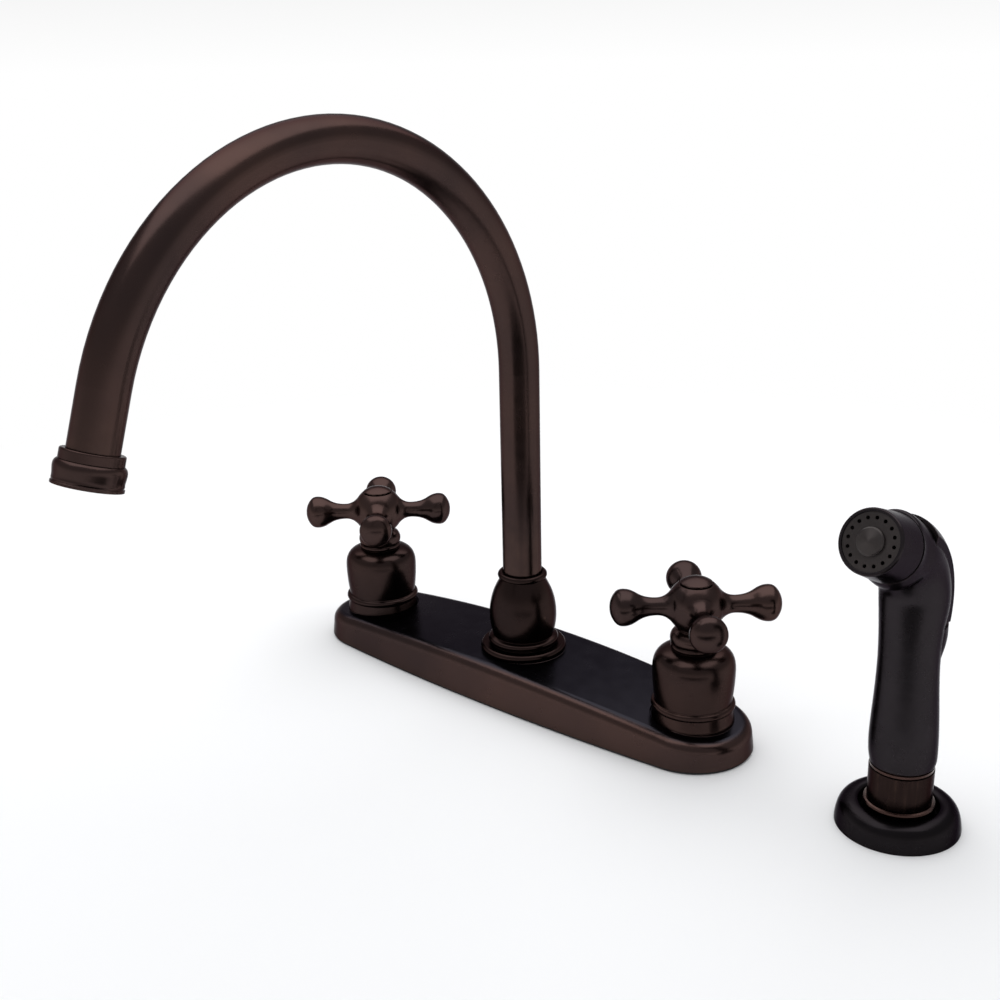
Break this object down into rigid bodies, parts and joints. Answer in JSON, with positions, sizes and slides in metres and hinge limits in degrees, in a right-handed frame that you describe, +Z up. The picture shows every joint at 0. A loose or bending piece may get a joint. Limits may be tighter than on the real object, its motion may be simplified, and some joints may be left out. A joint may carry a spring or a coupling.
{
  "type": "two handle kitchen faucet",
  "caption": "Two handle kitchen faucet on a long deck plate, with a high swivelling gooseneck spout, cross handles and a side sprayer that lifts out of its own holder.",
  "frame": {"origin": "on the deck's top face, on the spout's swivel axis, which is the plate's middle", "axes": "+X runs along the plate towards the cold handle and the sprayer, the spout reaches towards -Y, where the user stands, and +Z is up"},
  "size_m": [0.3607, 0.2739, 0.3442],
  "materials": {
    "bronze": "satin oil rubbed bronze with coppery highlights",
    "dark_bronze": "dark oil rubbed bronze coat on plastic",
    "copper_band": "rubbed copper",
    "grey_face": "matt warm grey",
    "brass": "machined",
    "copper": "drawn copper tube",
    "steel": "stainless",
    "ceramic": "lapped ceramic",
    "rubber": "matt",
    "plain_plastic": "moulded acetal"
  },
  "bodies": {
    "faucet_body": {"deck_plate": "bronze", "deck_gasket": "rubber", "shank_washers": "steel", "shank_nuts": "brass", "spout_hub": "brass", "spray_outlet": "brass", "diverter_seat": "plain_plastic", "spout_flange": "bronze", "spout_barrel": "bronze", "spout_bearing_ring": "plain_plastic", "spray_holder": "dark_bronze", "holder_liner": "copper_band", "holder_washer": "steel", "holder_nut": "brass", "hot_valve_body": "brass", "hot_inlet_shank": "brass", "hot_bell": "bronze", "hot_cartridge": "brass", "hot_fixed_disc": "ceramic", "hot_cross_tube": "copper", "cold_valve_body": "brass", "cold_inlet_shank": "brass", "cold_bell": "bronze", "cold_cartridge": "brass", "cold_fixed_disc": "ceramic", "cold_cross_tube": "copper"},
    "spout": {"spout_tube": "bronze", "spout_ferrule": "brass", "spout_seals": "rubber", "outlet_collar": "bronze", "aerator_housing": "bronze", "aerator_screen": "plain_plastic", "aerator_washer": "rubber"},
    "hot_handle": {"hot_cross_handle": "bronze", "hot_stem": "brass", "hot_stem_seal": "rubber", "hot_turning_disc": "ceramic", "hot_handle_screw": "steel", "hot_index_button": "bronze"},
    "cold_handle": {"cold_cross_handle": "bronze", "cold_stem": "brass", "cold_stem_seal": "rubber", "cold_turning_disc": "ceramic", "cold_handle_screw": "steel", "cold_index_button": "bronze"},
    "wand": {"wand_shell": "dark_bronze", "tail_ferrule": "dark_bronze", "tail_ring": "copper_band", "hose_connector": "brass", "spray_valve_body": "brass", "stem_spring": "steel", "water_tube": "plain_plastic", "nozzle_collar": "dark_bronze", "spray_face": "grey_face", "face_cone": "grey_face", "trigger_pin": "steel"},
    "trigger": {"trigger_lever": "dark_bronze"},
    "spray_stem": {"spray_valve_stem": "plain_plastic"},
    "diverter": {"diverter_poppet": "plain_plastic"}
  },
  "joints": [
    {"name": "spout_swivel", "type": "hinge", "parent": "faucet_body", "child": "spout", "pos_m": [0, 0, 0.045], "axis": [0, 0, 1], "continuous": true},
    {"name": "hot_handle_turn", "type": "hinge", "parent": "faucet_body", "child": "hot_handle", "pos_m": [-0.1016, 0, 0.0695], "axis": [0, 0, 1], "range_deg": [0, 90]},
    {"name": "cold_handle_turn", "type": "hinge", "parent": "faucet_body", "child": "cold_handle", "pos_m": [0.1016, 0, 0.0695], "axis": [0, 0, 1], "range_deg": [-90, 0]},
    {"name": "wand_lift", "type": "slide", "parent": "faucet_body", "child": "wand", "axis": [0, 0, 1], "range_m": [0, 0.06]},
    {"name": "trigger_press", "type": "hinge", "parent": "wand", "child": "trigger", "pos_m": [0.2032, -0.01022, 0.12926], "axis": [-1, 0, 0], "range_deg": [0, 5], "stiffness_Nm_per_rad": 0.1, "springref_deg": -5.16},
    {"name": "spray_stem_slide", "type": "slide", "parent": "wand", "child": "spray_stem", "axis": [0, 0, -1], "range_m": [0, 0.0012], "deforming": ["stem_spring"]},
    {"name": "diverter_shift", "type": "slide", "parent": "faucet_body", "child": "diverter", "axis": [0, 0, 1], "range_m": [0, 0.002]}
  ],
  "couplings": [
    {"joint": "spray_stem_slide", "follows": "trigger_press", "m_per_rad": 0.0125},
    {"joint": "diverter_shift", "follows": "trigger_press", "m_per_rad": 0.02}
  ]
}
